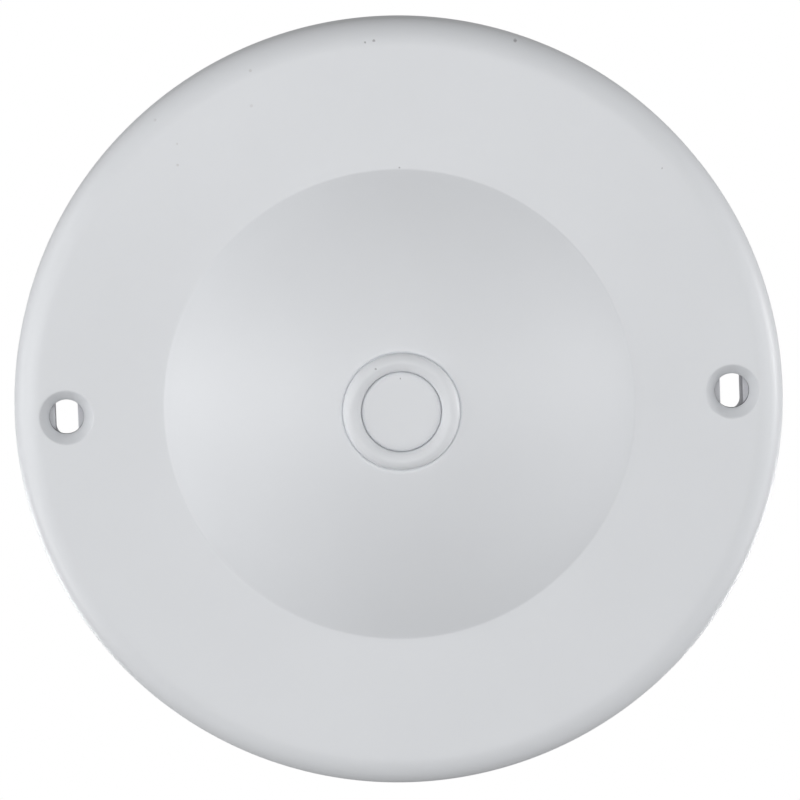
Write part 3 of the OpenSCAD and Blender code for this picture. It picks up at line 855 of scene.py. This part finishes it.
def contact_leaf():
    """A stamped leaf: a round tail under the rivet, a long stem with a window and two stiffening ribs, a round tip."""
    tail, tip_x, half = post[0], at[0] + 1.0, 2.5
    xs, outline = np.linspace(tail - 2.98, tip_x + 2.48, 150), []
    for x in xs:
        w = half if tail < x < tip_x else 0.0
        if x <= tail + 1.6:
            w = max(w if x > tail else 0.0, math.sqrt(max(0.0, 3.0 ** 2 - (x - tail) ** 2)))
        if x >= tip_x:
            w = math.sqrt(max(0.0, half ** 2 - (x - tip_x) ** 2))
        outline.append(max(w, 0.15))
    shares = np.linspace(-1, 1, 25)
    verts, faces = [], []

    def rib(x, y):
        along = min(1.0, max(0.0, (x + 11.5) / 1.2)) * min(1.0, max(0.0, (2.2 - x) / 1.2))
        return 0.10 * along * math.exp(-((abs(y) - 1.55) / 0.3) ** 2)

    for side in (0, 1):
        for x, w in zip(xs, outline):
            for s in shares:
                y = w * s
                z = (leaf_high if side else leaf_low) - rib(x, y)
                inset = 0.04 if abs(s) > 0.99 else 0.0
                verts.append((x, y, min(max(z + (-inset if side else inset), leaf_low - 0.08), leaf_high)))
    n, rows = len(shares), len(xs)
    top = rows * n
    for i in range(rows - 1):
        for k in range(n - 1):
            q = (i * n + k, (i + 1) * n + k, (i + 1) * n + k + 1, i * n + k + 1)
            faces += [q, tuple(top + v for v in reversed(q))]
        for k in (0, n - 1):
            faces.append((i * n + k, (i + 1) * n + k, top + (i + 1) * n + k, top + i * n + k))
    for i in (0, rows - 1):
        for k in range(n - 1):
            faces.append((i * n + k, i * n + k + 1, top + i * n + k + 1, top + i * n + k))
    return make_object("contact_leaf", verts, faces, sharp_deg=50)


leaf = contact_leaf()
cut(leaf, (6.4, 1.5, 2), (-8.0, 0, leaf_low))
cut(leaf, (1.24, 1.24, 2), (at[0], at[1], leaf_low), math.pi / 4)
set_smooth(leaf, 45)
bend_piece(leaf, "phosphor_bronze",
           "contact_blade")

# ---------- CAD nodes that keep their shape, with their edges softened ----------

for name, width in (("base", 0.22), ("terminal_block", 0.28), ("busbar_left", 0.14), ("busbar_right", 0.14),
                    ("contact_bracket", 0.14), ("blade_post", 0.12), ("diaphragm_ring", 0.14)):
    edges(NODES[name], width)


# ---------- materials ----------

MATS = {}


def add_node(tree, kind, inputs=None, **props):
    """A shader node with its properties set, and its inputs set to values or linked to other sockets."""
    node = tree.nodes.new("ShaderNode" + kind)
    for key, value in props.items():
        setattr(node, key, value)
    for key, value in (inputs or {}).items():
        if hasattr(value, "links"):
            tree.links.new(value, node.inputs[key])
        else:
            node.inputs[key].default_value = value
    return node


class Nodes:
    """A short way to build a material's node tree."""

    def __init__(self, name, **sockets):
        self.mat = bpy.data.materials.new(name)
        self.mat.use_nodes = True
        self.tree = self.mat.node_tree
        self.tree.nodes.clear()
        out = self.new("OutputMaterial")
        self.bsdf = self.new("BsdfPrincipled", sockets)
        self.link(self.bsdf.outputs[0], out.inputs["Surface"])
        self.coord = self.new("TexCoord").outputs["Object"]
        self.normal = None
        MATS[name] = self.mat

    def link(self, a, b):
        self.tree.links.new(a, b)

    def new(self, kind, inputs=None, **props):
        return add_node(self.tree, kind, inputs, **props)

    def noise(self, scale, detail=3.0, rough=0.55, vector=None):
        return self.new("TexNoise", {"Scale": scale, "Detail": detail, "Roughness": rough,
                                     "Vector": vector or self.coord}).outputs["Fac"]

    def stretched(self, scales):
        """Coordinates stretched differently along each axis."""
        return self.new("Mapping", {"Scale": scales, "Vector": self.coord}).outputs[0]

    def ramp(self, fac, stops):
        n = self.new("ValToRGB", {"Fac": fac})
        el = n.color_ramp.elements
        while len(el) > 1:
            el.remove(el[-1])
        for i, (pos, col) in enumerate(stops):
            e = el[0] if i == 0 else el.new(pos)
            e.position = pos
            e.color = (*col, 1)
        return n.outputs["Color"]

    def math(self, op, a, b):
        return self.new("Math", {0: a, 1: b}, operation=op).outputs[0]

    def vector(self, op, *inputs):
        return self.new("VectorMath", dict(enumerate(inputs)), operation=op).outputs

    def mix(self, fac, a, b):
        return self.new("Mix", {0: fac, 6: a, 7: (*b, 1)}, data_type="RGBA").outputs[2]

    def color(self, socket):
        self.link(socket, self.bsdf.inputs["Base Color"])

    def rough(self, fac, low, high):
        n = self.new("MapRange", {"Value": fac, "To Min": low, "To Max": high})
        self.link(n.outputs[0], self.bsdf.inputs["Roughness"])

    def bump(self, height, strength, distance):
        n = self.new("Bump", {"Strength": strength, "Distance": distance, "Height": height})
        if self.normal is not None:
            self.link(self.normal, n.inputs["Normal"])
        self.normal = n.outputs[0]
        self.link(self.normal, self.bsdf.inputs["Normal"])


BLACK, WHITE = (0, 0, 0), (1, 1, 1)


CHIP_SHAKE = 0.0003


def enamel(name, seed, chips):
    """Satin white enamel: orange peel, a little tone variation, rare dark specks and a few chips at set places."""
    m = Nodes(name, Roughness=0.4, IOR=1.5)
    tone = m.noise(28 + seed, 4, 0.6)
    fine = m.noise(900 + 17 * seed, 2)
    low, high = (tuple(c * share for c in BASE_WHITE) for share in (0.985, 1.012))
    col = m.ramp(tone, [(0.3, low), (0.7, high)])
    speck = m.new("TexVoronoi", {"Scale": 170 + seed, "Vector": m.coord})
    dot = m.ramp(speck.outputs["Distance"], [(0.0, WHITE), (0.035, WHITE), (0.05, BLACK)])
    rare = m.ramp(m.noise(61 + seed, 1), [(0.64, BLACK), (0.68, WHITE)])
    mask = m.math("MULTIPLY", dot, rare)
    col = m.mix(m.math("MULTIPLY", mask, 0.35), col, (0.45, 0.43, 0.42))
    # chips at set places on the front, with ragged edges
    ragged = m.new("TexNoise", {"Scale": 2500, "Vector": m.coord}).outputs["Color"]
    flat = m.vector("MULTIPLY", m.coord, (1, 0, 1))[0]
    place = m.vector("MULTIPLY_ADD", ragged, (CHIP_SHAKE, 0, CHIP_SHAKE), flat)[0]
    total = 0.0
    for x, y, r in chips:
        far = m.vector("DISTANCE", place, (x * MM + CHIP_SHAKE / 2, 0, y * MM + CHIP_SHAKE / 2))["Value"]
        near = m.new("MapRange", {"Value": far, "From Min": r * 1.3 * MM, "From Max": r * 0.6 * MM})
        total = m.math("MAXIMUM", near.outputs[0], total)
    col = m.mix(m.math("MULTIPLY", total, 0.7), col, (0.30, 0.29, 0.31))
    m.color(col)
    m.rough(fine, 0.34, 0.46)
    m.bump(m.noise(420 + seed, 3), 0.06, 0.0002)
    m.bump(fine, 0.05, 0.00004)


# each chip is (x, y, radius) in millimetres
enamel("cover_enamel", 1, ((-3.2, 55.4, 0.17), (-1.9, 55.6, 0.2), (19.6, 54.7, 0.24), (1.3, 36.2, 0.13),
                           (41.2, 34.5, 0.12)))
enamel("ring_enamel", 5, ((-3.25, 8.5, 0.2), (-2.4, 8.65, 0.12), (-3.7, 6.7, 0.13)))
enamel("disc_enamel", 9, ((0.0, 5.1, 0.12),))

floor_mat = Nodes("floor", Roughness=0.9)
floor_mat.bsdf.inputs["Emission Color"].default_value = (*WHITE, 1)
# the floor pales to the white of the backdrop at its edge
floor_pale = floor_mat.new("MapRange", {"Value": floor_mat.vector("LENGTH", floor_mat.coord)["Value"],
                                        "From Min": 0.5, "From Max": 2.3, "To Min": FLOOR_GLOW, "To Max": 1.0},
                           interpolation_type="SMOOTHSTEP")
floor_mat.link(floor_pale.outputs["Result"], floor_mat.bsdf.inputs["Emission Strength"])
floor_mat.mat.cycles.emission_sampling = "NONE"
floor_mat.color(floor_mat.ramp(floor_mat.noise(2.0, 2), [(0.3, (0.40, 0.40, 0.40)), (0.7, (0.42, 0.42, 0.42))]))


def resin(name, base, speck, size, rough, gloss_bump=0.04):
    """Moulded plastic: flow tone, filler specks and a faint mould grain."""
    m = Nodes(name, Roughness=rough, IOR=1.5)
    flow = m.noise(22, 4, 0.6)
    tone = m.ramp(flow, [(0.3, tuple(c * 0.94 for c in base)), (0.7, tuple(c * 1.05 for c in base))])
    dots = m.ramp(m.noise(size, 2, 0.7), [(0.60, BLACK), (0.72, WHITE)])
    m.color(m.mix(m.math("MULTIPLY", dots, 0.5), tone, speck))
    m.rough(m.noise(size * 0.6, 3), rough - 0.06, rough + 0.08)
    m.bump(m.noise(700, 3), gloss_bump, 0.00005)
    m.bump(m.noise(90, 2), 0.05, 0.0003)


def metal(name, base, rough, lines, tarnish, amount=0.35, across=(60, 2600, 60)):
    """Turned or rolled metal: fine tool lines, cloudy tarnish and uneven gloss."""
    m = Nodes(name, Metallic=1.0, Roughness=rough)
    tool = m.noise(1.0, 2, 0.5, m.stretched(across))
    cloud = m.noise(130, 5, 0.65)
    tone = m.ramp(tool, [(0.3, tuple(c * 0.9 for c in base)), (0.7, tuple(min(1, c * 1.06) for c in base))])
    stain = m.ramp(cloud, [(0.45, BLACK), (0.75, WHITE)])
    m.color(m.mix(m.math("MULTIPLY", stain, amount), tone, tarnish))
    m.rough(m.noise(260, 4), rough - 0.08, rough + 0.14)
    m.bump(tool, lines, 0.00003)


resin("base_resin", (0.60, 0.61, 0.645), (0.51, 0.52, 0.55), 1500, 0.42)
resin("block_resin", (0.043, 0.043, 0.046), (0.11, 0.10, 0.09), 1200, 0.38, 0.06)
metal("brass", (0.78, 0.56, 0.24), 0.28, 0.3, (0.42, 0.27, 0.12))
metal("terminal_brass", (0.80, 0.62, 0.32), 0.30, 0.2, (0.46, 0.33, 0.18), 0.4, (900, 60, 60))
metal("phosphor_bronze", (0.72, 0.43, 0.25), 0.30, 0.2, (0.45, 0.25, 0.16), 0.4, (1200, 60, 60))
metal("zinc_steel", (0.66, 0.67, 0.69), 0.32, 0.18, (0.50, 0.49, 0.42), 0.35, (500, 900, 500))
metal("spring_steel", (0.55, 0.56, 0.58), 0.26, 0.12, (0.30, 0.28, 0.27), 0.3, (300, 300, 300))
metal("fusible_alloy", (0.62, 0.62, 0.60), 0.42, 0.1, (0.42, 0.41, 0.38), 0.5, (240, 240, 240))
metal("contact_silver", (0.90, 0.89, 0.86), 0.22, 0.08, (0.55, 0.48, 0.36), 0.25, (700, 700, 700))

rubber = Nodes("seal_rubber", Roughness=0.72, IOR=1.45)
rubber.color(rubber.ramp(rubber.noise(180, 5, 0.7), [(0.35, (0.018, 0.018, 0.019)), (0.7, (0.040, 0.040, 0.042))]))
rubber.rough(rubber.noise(500, 2), 0.62, 0.82)
rubber.bump(rubber.noise(1600, 3), 0.2, 0.00006)

fibre = Nodes("fibre_washer", Roughness=0.7, IOR=1.45)
threads = fibre.noise(1.0, 4, 0.7, fibre.stretched((220, 220, 2200)))
fibre.color(fibre.ramp(threads, [(0.3, (0.30, 0.055, 0.04)), (0.7, (0.46, 0.11, 0.075))]))
fibre.rough(threads, 0.6, 0.8)
fibre.bump(threads, 0.25, 0.00008)

felt = Nodes("vent_felt", Roughness=0.95, IOR=1.4)
fluff = felt.noise(2600, 6, 0.8)
felt.color(felt.ramp(fluff, [(0.3, (0.42, 0.38, 0.31)), (0.7, (0.66, 0.61, 0.52))]))
felt.rough(fluff, 0.88, 1.0)
felt.bump(fluff, 0.5, 0.00015)

wax_mat = Nodes("sealing_wax", Roughness=0.35, IOR=1.44)
cloudy = wax_mat.noise(240, 4, 0.6)
wax_mat.color(wax_mat.ramp(cloudy, [(0.3, (0.36, 0.035, 0.03)), (0.7, (0.50, 0.06, 0.045))]))
wax_mat.rough(cloudy, 0.26, 0.46)
wax_mat.bump(wax_mat.noise(500, 3), 0.15, 0.0001)

# painted shade: a near-black colour on the screw holes' walls stands in for the shadow inside them
hole_shade_mat = Nodes("hole_wall_painted_shade", Metallic=0.6, Roughness=0.5)
hole_shade_mat.color(hole_shade_mat.ramp(hole_shade_mat.noise(1400, 4), [(0.3, (0.07, 0.07, 0.08)), (0.7, (0.17, 0.17, 0.19))]))
hole_shade_mat.rough(hole_shade_mat.noise(900, 2), 0.4, 0.65)

# CAD nodes keep the record's slots, and each slot gets the material of its name
for obj in NODES.values():
    slot = obj.data.materials[0].name.split(".")[0]
    for holder in obj.material_slots:
        holder.material = MATS[slot]
for name, slot in FINISH.items():
    data = bpy.data.objects[name].data
    data.materials.clear()
    data.materials.append(MATS[slot])

# the walls of the two screw holes, from this height on, get a dark painted shade
WALL_FROM = 8.0
cover.data.materials.append(MATS["hole_wall_painted_shade"])
for poly in cover.data.polygons:
    c = poly.center
    reach = min(math.hypot(c.x / MM - s * HOLE_X, c.z / MM) for s in (-1, 1))
    if reach < HOLE_R + 0.012 and -c.y / MM > WALL_FROM:
        poly.material_index = 1


# ---------- stage, light and camera ----------

FLOOR_RINGS, FLOOR_SEG = (0.4, 1.0, 1.7, 2.35), 96


def build_floor():
    """A round pale floor well below the object, which hangs in the air as it does on its ceiling."""
    verts, faces = [(0, 0, FLOOR_Z)], []
    for k, r in enumerate(FLOOR_RINGS):
        verts += [(r * math.cos(TAU * i / FLOOR_SEG), r * math.sin(TAU * i / FLOOR_SEG), FLOOR_Z)
                  for i in range(FLOOR_SEG)]
        p, q = 1 + FLOOR_SEG * (k - 1), 1 + FLOOR_SEG * k
        for i in range(FLOOR_SEG):
            j = (i + 1) % FLOOR_SEG
            faces.append((p + i, q + i, q + j, p + j) if k else (0, 1 + i, 1 + j))
    mesh = bpy.data.meshes.new("studio_floor")
    mesh.from_pydata(verts, [], faces)
    return add_object("studio_floor", mesh)


floor = build_floor()
floor.data.materials.append(MATS["floor"])
# the floor is seen, but throws no light up at the object
floor.visible_diffuse = floor.visible_glossy = floor.visible_transmission = False

scene = bpy.context.scene
scene.view_settings.view_transform = "Standard"
studio = bpy.data.worlds.new("studio")
scene.world = studio
studio.use_nodes = True
tree = studio.node_tree
tree.nodes.clear()
# soft light from behind, which the front never sees: it shows the base and its metal parts
heading = add_node(tree, "TexCoord").outputs["Generated"]
away = add_node(tree, "SeparateXYZ", {0: heading}).outputs["Y"]
glow = add_node(tree, "MapRange", {"Value": away, "From Min": 0.05, "From Max": 0.6, "To Min": AMBIENT,
                                   "To Max": AMBIENT + REAR_GLOW}, interpolation_type="SMOOTHSTEP")
room = add_node(tree, "Background", {"Color": (*WHITE, 1), "Strength": glow.outputs["Result"]})
paper = add_node(tree, "Background", {"Color": (*WHITE, 1), "Strength": 1.0})
seen = add_node(tree, "LightPath").outputs["Is Camera Ray"]
pick = add_node(tree, "MixShader", {0: seen, 1: room.outputs[0], 2: paper.outputs[0]})
add_node(tree, "OutputWorld", {"Surface": pick.outputs[0]})


def outward(az, el):
    """The direction from the object at azimuth az (0 is straight in front) and elevation el, in radians."""
    return Vector((math.sin(az) * math.cos(el), -math.cos(az) * math.cos(el), math.sin(el)))


def softbox(name, az, el, side, power, dist=1.1):
    """A square area light that faces the object."""
    data = bpy.data.lights.new(name, "AREA")
    data.shape = "RECTANGLE"
    data.size = data.size_y = side
    data.energy = power
    obj = add_object(name, data)
    d = outward(math.radians(az), math.radians(el))
    obj.location = d * dist
    obj.visible_camera = False
    obj.rotation_euler = (-d).to_track_quat("-Z", "Y").to_euler()


for spec in LIGHTS:
    softbox(*spec)

# Camera in front of the cover, slightly above and left of its axis, and turned a little
FRAME_PX, SENSOR_MM, FOCAL_PX, SHIFT_PX = 800, 36, 7863, (0.57, 3.32)
CAM_D, CAM_EL, CAM_AZ, CAM_ROLL = 1.2, math.radians(6.07), math.radians(-1.28), math.radians(-2.12)
CAM_TARGET = Vector((0, -0.009, 0))
cam_data = bpy.data.cameras.new("camera")
cam = add_object("camera", cam_data)
scene.camera = cam
toward = outward(CAM_AZ, CAM_EL)
level = (-toward).cross(Vector((0, 0, 1))).normalized()
upright = level.cross(-toward)
right = level * math.cos(CAM_ROLL) + upright * math.sin(CAM_ROLL)
up = upright * math.cos(CAM_ROLL) - level * math.sin(CAM_ROLL)
rot = Matrix((right, up, toward)).transposed().to_4x4()
cam.matrix_world = Matrix.Translation(CAM_TARGET + toward * CAM_D) @ rot
cam_data.sensor_width = SENSOR_MM
cam_data.lens = FOCAL_PX * SENSOR_MM / FRAME_PX
cam_data.shift_x, cam_data.shift_y = (v / FRAME_PX for v in SHIFT_PX)
cam_data.clip_start, cam_data.clip_end = 0.05, 20
cam_data.dof.use_dof = False
